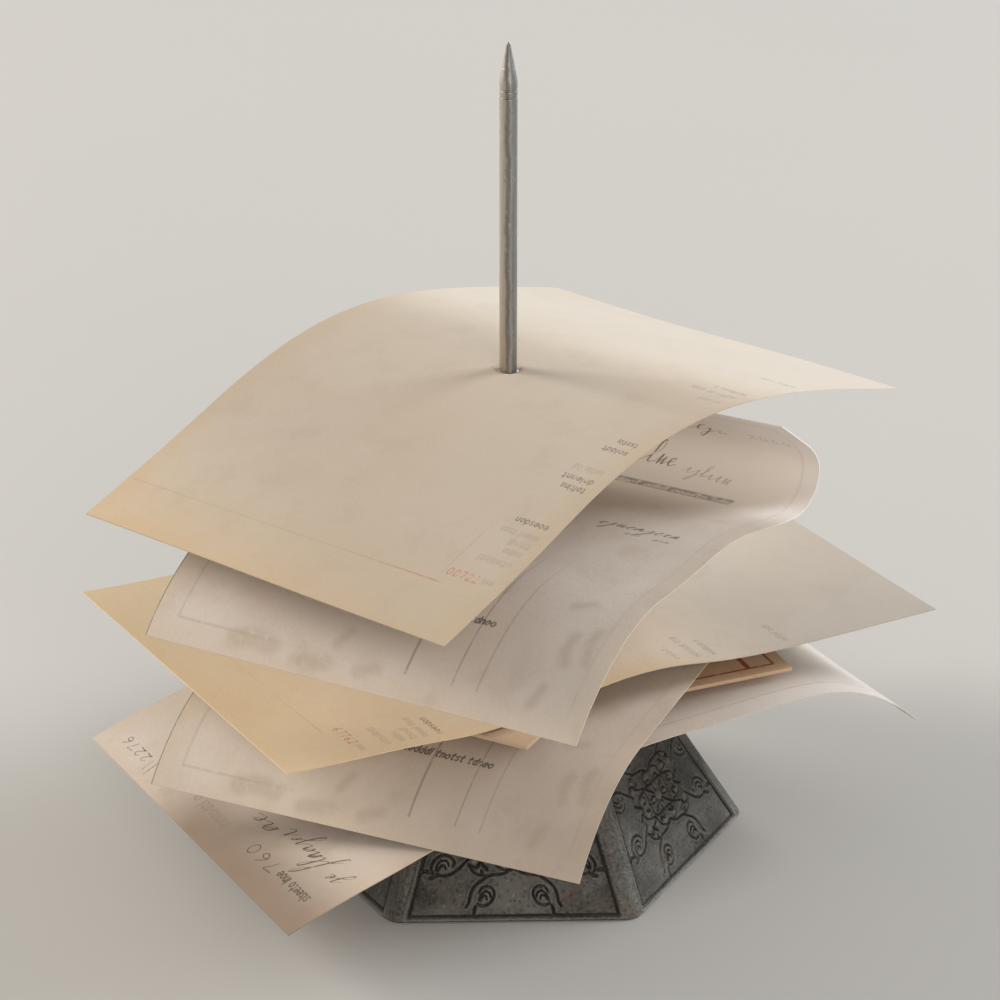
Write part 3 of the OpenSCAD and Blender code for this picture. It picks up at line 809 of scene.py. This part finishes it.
def figures(at, low, high, count, tall, seed, half, turned_over=False):
    """A row of plain figures."""
    chance = np.random.default_rng(seed)
    rows = [figure_shapes[chance.integers(len(figure_shapes))] for _ in range(count)]
    strokes = [(sweep(*row) + (0.85 * k, 0), half) for k, row in enumerate(rows)]
    return on_sheet(strokes, at, low, high, tall, 0.0, turned_over)


def set_round_rod(piece, x, y, z, turn):
    """Puts the vertices of a paper in place round the rod, turned to a bearing."""
    bearing = math.radians(turn)
    back = x * math.cos(bearing) - y * math.sin(bearing)
    aside = x * math.sin(bearing) + y * math.cos(bearing)
    piece.data.vertices.foreach_set("co", (np.stack([back, aside, z], axis=1) * mm).ravel())


def curved_sheet(name, size, front, offset, turn, slope, front_bends, rear_bends, height, seed, marks):
    """A sheet bent along its length, torn by the rod at its origin, with a map of the flat sheet."""
    width, length = size
    chance = np.random.default_rng(seed)
    bpy.ops.object.select_all(action="DESELECT")
    bpy.ops.mesh.primitive_grid_add(x_subdivisions=round(length), y_subdivisions=round(width / 1.5), size=1)
    sheet = bpy.context.object
    sheet.name = name
    bpy.ops.object.mode_set(mode="EDIT")
    flat = bmesh.from_edit_mesh(sheet.data)
    for spot in flat.verts:
        spot.co.x = (spot.co.x + 0.5) * length - front
        spot.co.y = spot.co.y * width - offset
    corner_y = 0.5 * width - offset
    for cuts in (fine_cuts, soft_cuts):
        faces = list(flat.faces)
        centres = np.array([face.calc_center_median()[:2] for face in faces])
        on_flat = np.stack([centres[:, 0] + front, corner_y - centres[:, 1]], axis=1)
        away = np.full(len(faces), np.inf)
        cut_strokes = [stroke for _, fineness, strokes in marks for stroke in strokes if fineness == cuts]
        for line, half in cut_strokes:
            here = near(on_flat, line.min(0), line.max(0), np.max(half) + 1.5)
            away[here] = np.minimum(away[here], off_line(on_flat[here], line, half))
        close = [faces[k] for k in np.flatnonzero(away < 1.1)]
        edges = dict.fromkeys(edge for face in close for edge in face.edges if edge.calc_length() > 0.5)
        bmesh.ops.subdivide_edges(flat, edges=list(edges), cuts=cuts, use_grid_fill=True)
    middle = [face for face in flat.faces if face.calc_center_median().length < hole_clear]
    bmesh.ops.delete(flat, geom=middle, context="FACES")
    rim = [edge for edge in flat.edges if edge.is_boundary and edge.verts[0].co.length < 9]
    pushed = {}
    for radius, push in hole_rings:
        drawn = bmesh.ops.extrude_edge_only(flat, edges=rim)["geom"]
        rim = [part for part in drawn if isinstance(part, bmesh.types.BMEdge) and part.is_boundary]
        for spot in dict.fromkeys(spot for edge in rim for spot in edge.verts):
            jag = 1 + 0.12 * chance.uniform(-0.3, 1) * (push > 0.1)
            spot.co *= radius * jag / spot.co.length
            pushed[spot] = push * chance.uniform(0.6, 1.4)
    flat_map = flat.loops.layers.uv.verify()
    for face in flat.faces:
        for corner in face.loops:
            place = corner.vert.co
            corner[flat_map].uv = ((place.x + front) / length, (corner_y - place.y) / width)
    flat.verts.index_update()
    dents = np.zeros(len(flat.verts))
    for spot, push in pushed.items():
        dents[spot.index] = push
    bmesh.update_edit_mesh(sheet.data)
    bpy.ops.object.mode_set(mode="OBJECT")
    sheet.data.uv_layers.active.name = "flat"

    spots = spots_of(sheet)
    on_flat = np.stack([spots[:, 0] + front, corner_y - spots[:, 1]], axis=1)
    for ink in sorted({ink for ink, _, _ in marks}):
        outside = np.full(len(spots), 2.0)
        ink_strokes = [stroke for used, _, strokes in marks for stroke in strokes if used == ink]
        for line, half in ink_strokes:
            here = near(on_flat, line.min(0), line.max(0), np.max(half) + 1.2)
            outside[here] = np.minimum(outside[here], off_line(on_flat[here], line, half))
        hold_values(sheet, ink, outside)
    back, rise, tilt = arched(rear_bends, front_bends, front, length - front, slope, spots[:, 0])
    away = np.hypot(spots[:, 0], spots[:, 1])
    cockle = np.zeros(len(spots))
    for _ in range(5):
        wave = chance.uniform(-1, 1, 2) / 9
        cockle += np.sin(spots[:, :2] @ wave + chance.uniform(0, math.tau))
    lift = cockle_high * cockle * np.clip((away - 8) / 40, 0, 1) - dents
    back -= lift * np.sin(tilt)
    rise += lift * np.cos(tilt)
    set_round_rod(sheet, back, spots[:, 1], rise + height, turn)
    thick = sheet.modifiers.new("thick", "SOLIDIFY")
    thick.thickness = paper_thick * mm
    thick.offset = 0
    thick.material_offset = 1
    thick.material_offset_rim = 1
    bpy.ops.object.modifier_apply(modifier="thick")
    bpy.ops.object.shade_smooth_by_angle(angle=math.radians(40))
    return sheet


mottle_brown = (0.47, 0.38, 0.29)
spot_brown = (0.42, 0.27, 0.13)
pale_fibre = (0.9, 0.85, 0.76)


class Paper(Finish):
    """An old paper. Places on it are in millimetres: along from its front end, across from its side."""

    def __init__(self, name, size, ground, stain, edge, seed):
        super().__init__(name)
        self.width, self.length = size
        spot = self.node("SeparateXYZ", {}, {0: self.node("UVMap", {"uv_map": "flat"})})
        self.along = spot * self.length
        self.across = spot.out("Y") * self.width
        self.place = self.node("CombineXYZ", {}, {0: self.along, 1: self.across, 2: seed * 37.0})
        cloud = self.noise(self.place, 0.035, 4.0, 0.6).rise(0.32, 0.68)
        self.grain = self.noise(self.place, 1.6, 3.0, 0.7)
        from_end = self.along.least(self.length - self.along)
        nearest = from_end.least(self.across.least(self.width - self.across))
        worn = (nearest + 9.0 * (self.noise(self.place, 0.12) - 0.5)).fall(-1.0, 7.0)
        spots = self.noise(self.place, 0.42, 2.0, 0.5).rise(0.68, 0.78)
        mottle = self.noise(self.place, 0.11, 4.0, 0.6).rise(0.5, 0.72)
        browned = 0.12 + 0.43 * self.along.fall(0.45 * self.length, 0.75 * self.length)
        self.colour = self.mix(cloud, ground, stain)
        self.lay(worn * browned, edge)
        self.lay(mottle * 0.3, mottle_brown)
        self.lay(spots * 0.16, spot_brown)
        self.lay(self.grain.rise(0.3, 0.75) * 0.1, pale_fibre)
        self.worn_ink = self.noise(self.place, 0.45, 4.0, 0.7).rise(0.24, 0.5)

    def stroke(self, value, at, half):
        return abs(value - at).fall(0.55 * half, 1.3 * half)

    def span(self, value, low, high):
        return value.rise(low - 0.2, low + 0.2) * value.fall(high - 0.2, high + 0.2)

    def ink(self, mask, colour, strength):
        self.lay(mask * self.worn_ink * strength, colour)

    def rule(self, value, at, half, other, low, high, colour, strength):
        """A ruled line where one place has a value, between two values of the other place."""
        self.ink(self.stroke(value, at, half) * self.span(other, low, high), colour, strength)

    def inked(self, name, colour, strength, soft=0.05):
        """Ink where the sheet's own map of pen or type says how far off the nearest stroke is."""
        self.ink(self.mapped(name).fall(-soft, soft), colour, strength)

    def finished(self):
        ripple = self.noise(self.place, 0.35, 3.0)
        waves = self.noise(self.place, 0.09, 4.0, 0.5)
        fine = self.grain + 0.6 * ripple + 3.0 * waves
        return self.dress(
            Base_Color=self.colour,
            Roughness=0.78 + 0.14 * self.grain,
            Specular_IOR_Level=0.3,
            Normal=self.bump(fine, 0.4, 0.00015),
        )


brown_ink = (0.10, 0.066, 0.042)
black_ink = (0.085, 0.066, 0.05)
grey_ink = (0.26, 0.22, 0.185)
red_ink = (0.46, 0.12, 0.075)
bill_size = (83.0, 140.0)
pale_ground, pale_stain, pale_edge = (0.67, 0.60, 0.54), (0.61, 0.535, 0.475), (0.60, 0.50, 0.39)
tan_ground, tan_stain, tan_edge = (0.66, 0.58, 0.48), (0.63, 0.535, 0.42), (0.64, 0.455, 0.25)


def paper_piece(sheet, body, face, back):
    sheet.data.materials.append(face)
    sheet.data.materials.append(back)
    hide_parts(body)
    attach(sheet, body)


pen_ticks = [
    (np.array([(2.0, 19.0), (5.5, 18.5)]), 0.1),
    (np.array([(2.6, 17.4), (5.2, 17.0)]), 0.08),
]
bottom_marks = [
    ("pen", fine_cuts, figures(5.8, 6.3, 15.8, count=4, tall=2.2, seed=1, half=0.1, turned_over=True)),
    ("pen", fine_cuts, pen_ticks),
    ("faint_type", fine_cuts, printed(7.2, 34, 46.7, tall=2.4, seed=3, turned_over=True)),
    ("pen", fine_cuts, written(13.2, 48, 55.5, tall=2.6, seed=12, turned_over=True)),
    ("pen", fine_cuts, written(15.2, 57, 74, tall=2.2, seed=6, turned_over=True, flourish=True)),
    ("pen", fine_cuts, figures(8.2, 55.7, 65.4, count=3, tall=2.7, seed=5, half=0.11, turned_over=True)),
    (
        "type", fine_cuts,
        printed(7.8, 66.6, 77.6, tall=2.1, seed=5, turned_over=True, bold=0.07, narrow=0.85),
    ),
    ("pen", fine_cuts, written(14.0, 74.5, 79.0, tall=1.7, seed=8, turned_over=True)),
    ("pen", fine_cuts, written(21.5, 42, 50, tall=2.6, seed=9, turned_over=True)),
]
bottom_bill = curved_sheet(
    "written_bill", bill_size, front=70, offset=-1, turn=28.5, slope=6,
    front_bends=(-6, -6, 4, -5), rear_bends=(-6, 2, -5, -24, -19),
    height=32.5, seed=11, marks=bottom_marks,
)
# Painted shade: a dark brown laid over the bill's front corner, where shade falls.
bottom_shade_colour = (0.225, 0.16, 0.11)
# Painted light: a paler colour for the bill's hanging rear end, where light falls.
bottom_light_colour = (0.83, 0.80, 0.765)
bottom_face = Paper("written_bill_face", bill_size, pale_ground, pale_stain, pale_edge, 1)
# Painted shade: the bill's front corner is darkened brown.
bottom_painted_shade = bottom_face.along.fall(2, 20) * bottom_face.across.rise(20, 44)
bottom_face.lay(bottom_painted_shade * 0.8, bottom_shade_colour)
# Painted light: the bill's hanging rear end is made paler.
bottom_painted_light = bottom_face.along.rise(84, 116)
bottom_face.lay(bottom_painted_light * 0.65, bottom_light_colour)
bottom_face.inked("pen", brown_ink, 0.9)
bottom_face.inked("type", black_ink, 0.85)
bottom_face.inked("faint_type", grey_ink, 0.55, 0.08)
bottom_face.rule(bottom_face.across, 78.5, 0.2, bottom_face.along, 78, 134, grey_ink, 0.25)
bottom_back = Paper("written_bill_back", bill_size, pale_ground, pale_stain, pale_edge, 2)
paper_piece(bottom_bill, "bottom_bill", bottom_face.finished(), bottom_back.finished())


# Ruled card
# A stiff card of buff pasteboard under the stack on the right, printed with a dark red frame and a
# bar. It was pushed down over the point, which punched a round hole through it.
card_size = (56.0, 64.0)
card_thick = 0.8
card_corner, card_edge = 0.8, 0.14
card_net = 3.0
card_bow = 0.12


def stiff_card(name, front, offset, turn, height, seed):
    """A card with softened corners and edges, slightly bowed, with the rod's hole through it."""
    width, length = card_size
    chance = np.random.default_rng(seed)
    bpy.ops.object.select_all(action="DESELECT")
    bpy.ops.mesh.primitive_cube_add(size=1)
    card = bpy.context.object
    card.name = name
    bpy.ops.transform.resize(value=(length * mm, width * mm, card_thick * mm))
    bpy.ops.object.transform_apply(location=True, rotation=True, scale=True)
    bpy.ops.object.mode_set(mode="EDIT")
    bpy.ops.mesh.select_all(action="DESELECT")
    shape = bmesh.from_edit_mesh(card.data)
    for edge in shape.edges:
        edge.select_set(abs(edge.verts[0].co.z - edge.verts[1].co.z) > 0.5 * card_thick * mm)
    bpy.ops.mesh.bevel(offset=card_corner * mm, segments=4)
    bpy.ops.mesh.select_all(action="SELECT")
    bpy.ops.mesh.bevel(offset=card_edge * mm, segments=2)
    for axis, size in (((1, 0, 0), length), ((0, 1, 0), width)):
        for place in np.arange(-size / 2 + 3, size / 2 - 2, card_net):
            bpy.ops.mesh.select_all(action="SELECT")
            bpy.ops.mesh.bisect(plane_co=Vector(axis) * (place * mm), plane_no=axis)
    bpy.ops.object.mode_set(mode="OBJECT")
    centre = (length / 2 - front, -offset)
    bpy.ops.object.select_all(action="DESELECT")
    punch_round = rod_round + 0.3
    bpy.ops.mesh.primitive_cylinder_add(
        vertices=28,
        radius=punch_round * mm,
        depth=6 * mm,
        location=(-centre[0] * mm, -centre[1] * mm, 0),
    )
    punch = bpy.context.object
    bpy.ops.object.transform_apply(location=True, rotation=True, scale=True)
    carve(card, punch, "DIFFERENCE")
    spots = spots_of(card) / mm
    card_map = card.data.uv_layers[0]
    card_map.name = "flat"
    corners = np.empty(len(card.data.loops), np.int32)
    card.data.loops.foreach_get("vertex_index", corners)
    unit = np.stack([spots[:, 0] / length + 0.5, 0.5 - spots[:, 1] / width], axis=1)
    card_map.uv.foreach_set("vector", unit[corners].astype(np.float32).ravel())
    spots[:, 0] += centre[0]
    spots[:, 1] += centre[1]
    from_hole = np.clip(np.hypot(spots[:, 0], spots[:, 1]) / 30, 0, 1)
    bow = card_bow * np.cos(spots[:, 0] / 20 + chance.uniform(0, 6)) * from_hole
    set_round_rod(card, spots[:, 0], spots[:, 1], spots[:, 2] + bow + height, turn)
    bpy.ops.object.select_all(action="DESELECT")
    card.select_set(True)
    bpy.ops.object.shade_smooth_by_angle(angle=math.radians(35))
    return card


buff_ground, buff_stain, buff_edge = (0.66, 0.46, 0.31), (0.60, 0.41, 0.27), (0.50, 0.31, 0.17)
frame_red = (0.33, 0.065, 0.03)
frame_inset = 2.7
bar_at = card_size[1] - 7.8
bar_end = card_size[0] - frame_inset
ruled_card = stiff_card("framed_card", front=18, offset=0, turn=21.5, height=35.8, seed=21)
ruled_face = Paper("framed_card_face", card_size, buff_ground, buff_stain, buff_edge, 3)
for value, far, other, reach in (
    (ruled_face.along, card_size[1], ruled_face.across, card_size[0]),
    (ruled_face.across, card_size[0], ruled_face.along, card_size[1]),
):
    for at in (frame_inset, far - frame_inset):
        ruled_face.rule(value, at, 0.3, other, frame_inset, reach - frame_inset, frame_red, 0.9)
ruled_face.rule(ruled_face.along, bar_at, 0.55, ruled_face.across, frame_inset, bar_end, frame_red, 0.95)
paper_piece(ruled_card, "ruled_card", ruled_face.finished(), ruled_face.material)


# Lower statement
# A pale printed statement with a thin border, ruled columns and faint marks of damp. It lies level
# and its front end hangs down over the casting.
statement_size = (85.0, 130.0)
statement_border = 4.8
border_grey = (0.33, 0.31, 0.265)
damp_brown = (0.42, 0.345, 0.265)
damp_blots = [
    (sweep((3.6, 17), (4.4, 20.5), (3.9, 24)), 1.9),
    (sweep((2.4, 30), (2.8, 33), (3.2, 35.5)), 1.4),
    (sweep((7, 36), (10, 37.5)), 0.8),
    (sweep((3, 42), (4.5, 45)), 1.2),
    (sweep((5, 74.5), (8.5, 75.5)), 0.8),
    (sweep((14, 77), (17, 76), (20, 76.5)), 0.9),
    (sweep((15, 80.5), (19, 79.5), (22, 80)), 0.8),
    (sweep((27, 73), (28.5, 75.5)), 1.0),
]
statement_marks = [
    ("type", fine_cuts, printed(17.7, 43, 61.8, tall=1.6, seed=4, bold=0.1, lean=0.25)),
    ("damp", soft_cuts, damp_blots),
]


def print_statement(face):
    """The border, the ruled columns, the print and the damp of a statement."""
    width, length = statement_size
    far_border = width - 3.3
    side_run = (statement_border, length - statement_border)
    face.rule(face.across, statement_border, 0.3, face.along, *side_run, border_grey, 0.26)
    face.rule(face.across, far_border, 0.3, face.along, *side_run, border_grey, 0.13)
    face.rule(face.along, side_run[1], 0.4, face.across, statement_border, far_border, border_grey, 0.3)
    # A thin dark brown line along the sheet's side edge.
    face.rule(face.across, 0.1, 0.14, face.along, 0, 0.6 * length, brown_ink, 0.55)
    front_line = face.stroke(face.along, statement_border, 0.3) * face.across.rise(4.6, 5.0)
    face.ink(front_line * face.across.fall(14, 34), border_grey, 0.28)
    for at, half, strength in ((50.5, 0.26, 0.6), (59.5, 0.17, 0.5), (64.3, 0.2, 0.3)):
        column = face.stroke(face.across, at, half) * face.along.rise(4.6, 5.0) * face.along.fall(24, 50)
        face.ink(column, grey_ink, strength)
    face.inked("damp", damp_brown, 0.42, 1.1)
    face.inked("type", black_ink, 0.8)


lower_statement = curved_sheet(
    "hanging_statement", statement_size, front=60, offset=-3.5, turn=64, slope=3,
    front_bends=(1, -3, -22, -22), rear_bends=(-7, 0, 2, -6),
    height=39.5, seed=12, marks=statement_marks,
)
# Painted shade: the front part of the statement's far side is darkened.
statement_shade_colour = (0.40, 0.33, 0.275)
lower_face = Paper("hanging_statement_face", statement_size, pale_ground, pale_stain, pale_edge, 4)
lower_painted_shade = lower_face.across.rise(34, 60) * lower_face.along.fall(26, 64)
lower_face.lay(lower_painted_shade * 0.3, statement_shade_colour)
print_statement(lower_face)
lower_back = Paper("hanging_statement_back", statement_size, pale_ground, pale_stain, pale_edge, 5)
paper_piece(lower_statement, "lower_statement", lower_face.finished(), lower_back.finished())


# Plain card
# A second stiff card of pasteboard, bare on both sides, held on the rod between two sheets. Only one
# of its corners shows in front.
board_ground, board_stain, board_edge = (0.62, 0.48, 0.34), (0.56, 0.42, 0.29), (0.46, 0.31, 0.19)
plain_card = stiff_card("bare_card", front=41, offset=-2.5, turn=60.5, height=40.9, seed=22)
plain_face = Paper("bare_card_face", card_size, board_ground, board_stain, board_edge, 6)
paper_piece(plain_card, "plain_card", plain_face.finished(), plain_face.material)


# Middle bill
# A tan printed bill lying almost flat, browned by age along its edges, with a red line, a stamped
# number and a printed list worn past reading.
bill_list_side = 80.6
# Rows of the printed list, each with its place, its width and its ink
bill_rows = (
    (22.0, 6.9, "faint_type"), (25.0, 3.9, "faint_type"), (27.3, 4.4, "faint_type"),
    (29.6, 7.9, "faint_type"), (32.6, 6.9, "type"), (43.3, 5.1, "type"),
    (45.8, 6.6, "type"), (48.8, 6.3, "faint_type"), (55.6, 5.2, "type"),
    (58.6, 4.2, "type"), (83.0, 4.6, "faint_type"), (87.8, 9.4, "worn_type"),
    (91.4, 7.0, "worn_type"), (107.5, 7.5, "worn_type"),
)


def bill_marks(seed):
    marks = [
        ("red", fine_cuts, figures(15.2, 71.0, 77.6, count=5, tall=1.9, seed=seed, half=0.1)),
        ("faint_type", fine_cuts, printed(16.9, 78.4, bill_list_side, tall=1.4, seed=1, turned_over=True)),
    ]
    for at, wide, ink in bill_rows:
        start = bill_list_side - wide
        row = printed(at, start, bill_list_side, tall=1.5, seed=round(at), turned_over=True, bold=0.075)
        marks.append((ink, fine_cuts, row))
    return marks


def bill_paper(name, seed):
    """Tan paper, browned along its front end."""
    face = Paper(name, bill_size, tan_ground, tan_stain, tan_edge, seed)
    front = (face.along + 10.0 * (face.noise(face.place, 0.06) - 0.5)).fall(2, 26)
    face.lay(front * 0.45, tan_edge)
    return face


def print_bill(face, line_strength):
    """The red line, the rule beside the number, and the print of a tan bill."""
    red_line = face.stroke(face.along - face.across * 0.02, 11.6, 0.16) * face.span(face.across, 1.0, 72.0)
    face.ink(red_line * (0.35 + 0.65 * face.across.rise(50, 68)), red_ink, line_strength)
    face.rule(face.across, 70.4, 0.12, face.along, 14.5, 27, grey_ink, 0.5 * line_strength)
    face.inked("red", red_ink, 0.75)
    face.inked("type", black_ink, 0.66)
    face.inked("worn_type", grey_ink, 0.62, 0.12)
    face.inked("faint_type", grey_ink, 0.45, 0.2)


middle_bill = curved_sheet(
    "flat_bill", bill_size, front=66, offset=-6, turn=29.5, slope=5.5,
    front_bends=(-2, 14, -4, 3), rear_bends=(-16, 8, 2, -1),
    height=44.5, seed=13, marks=bill_marks(7),
)
# Painted light: a bright warm tan for the bill's front part.
middle_light_tan = (0.84, 0.69, 0.47)
# Painted shade: a grey for the bill's rear end.
middle_shade_grey = (0.43, 0.43, 0.425)
middle_face = bill_paper("flat_bill_face", 7)
# Painted light: the bill's front part is brightened with a warm tan.
middle_painted_light = middle_face.along.fall(24, 70)
middle_face.lay(0.5 * middle_painted_light, middle_light_tan)
# Painted shade: the bill's rear end is darkened grey.
middle_painted_shade = middle_face.along.rise(70, 112)
middle_face.lay(0.5 * middle_painted_shade, middle_shade_grey)
print_bill(middle_face, 0.22)
middle_back = Paper("flat_bill_back", bill_size, tan_ground, tan_stain, tan_edge, 8)
paper_piece(middle_bill, "middle_bill", middle_face.finished(), middle_back.finished())


# Curled statement
# A second statement of the same printing, whose rear end has curled up and over. Its heading has a
# dark printed band, with lines and sums written above and below it in brown ink.
curled_marks = statement_marks + [
    ("pen", fine_cuts, written(59.2, 60.5, 76.5, tall=1.4, seed=21)),
    ("faint_pen", fine_cuts, written(56.9, 66.8, 70, tall=0.8, seed=31)),
    ("faint_pen", fine_cuts, written(56.6, 72.5, 76, tall=0.8, seed=32)),
    ("pen", fine_cuts, written(100.2, 46, 56.5, tall=2.3, seed=22)),
    ("faint_pen", fine_cuts, written(99.8, 58.3, 68.5, tall=1.5, seed=23, climb=-0.12)),
    ("pen", fine_cuts, written(111.0, 52, 67.3, tall=1.9, seed=24)),
    ("faint_pen", fine_cuts, figures(111.8, 72.0, 80.5, count=4, tall=2.4, seed=25, half=0.1)),
    ("pen", fine_cuts, written(120.5, 50, 66, tall=1.8, seed=26)),
    ("strip", fine_cuts, printed(91.3, 28, 71.4, tall=2.0, seed=27, bold=0.12)),
]
curled_statement = curved_sheet(
    "curled_over_statement", statement_size, front=72, offset=7, turn=60, slope=-13.5,
    front_bends=(-16, 8, -29, -23), rear_bends=(-2, 1, 7, 41, 94, 17, -1, 2),
    height=71.5, seed=14, marks=curled_marks,
)
# Painted light: the curled-up rear end, inside the curl, is made paler where light would brighten it.
curled_light_colour = (0.92, 0.87, 0.82)
curled_face = Paper("curled_over_statement_face", statement_size, pale_ground, pale_stain, pale_edge, 9)
curled_painted_light = curled_face.along.rise(78, 95)
curled_face.lay(curled_painted_light * 0.94, curled_light_colour)
print_statement(curled_face)
band = curled_face.stroke(curled_face.along, 92.3, 1.7) * curled_face.span(curled_face.across, 24, 72)
pale_letters = curled_face.mapped("strip").fall(-0.05, 0.05)
curled_face.ink(band * (1 - 0.6 * pale_letters), black_ink, 0.62)
curled_face.inked("pen", brown_ink, 0.75)
curled_face.inked("faint_pen", grey_ink, 0.5)
curled_back = Paper("curled_over_statement_back", statement_size, pale_ground, pale_stain, pale_edge, 10)
paper_piece(
    curled_statement, "curled_statement", curled_face.finished(), curled_back.finished()
)


# Top bill
# The newest paper, a tan bill like the middle one. Its torn hole holds it high up on the rod, and it
# arches over it, with painted shade over its front and middle and painted light on its rear end.
top_bill = curved_sheet(
    "arched_bill", bill_size, front=70, offset=-0.5, turn=49.5, slope=0.5,
    front_bends=(-11, -8, 2, 2), rear_bends=(-10, -6, -2, 0),
    height=93.5, seed=15, marks=bill_marks(11),
)
# Painted shade: a darker tan for the front and middle of the arch.
top_shade_tan = (0.40, 0.34, 0.28)
# Painted light: a pale tan for the bill's rear end, where light falls.
top_light_tan = (0.73, 0.70, 0.655)
top_face = bill_paper("arched_bill_face", 11)
# Painted shade: the front and middle of the arch are darkened.
top_painted_shade = top_face.along.fall(72, 102) * (top_face.along + 0.6 * top_face.across).rise(-15, 50)
top_face.lay(0.56 * top_painted_shade, top_shade_tan)
# Painted light: the bill's rear end is made paler.
top_painted_light = top_face.along.rise(78, 108)
top_face.lay(0.55 * top_painted_light, top_light_tan)
print_bill(top_face, 0.5)
top_back = Paper("arched_bill_back", bill_size, tan_ground, tan_stain, tan_edge, 12)
paper_piece(top_bill, "top_bill", top_face.finished(), top_back.finished())
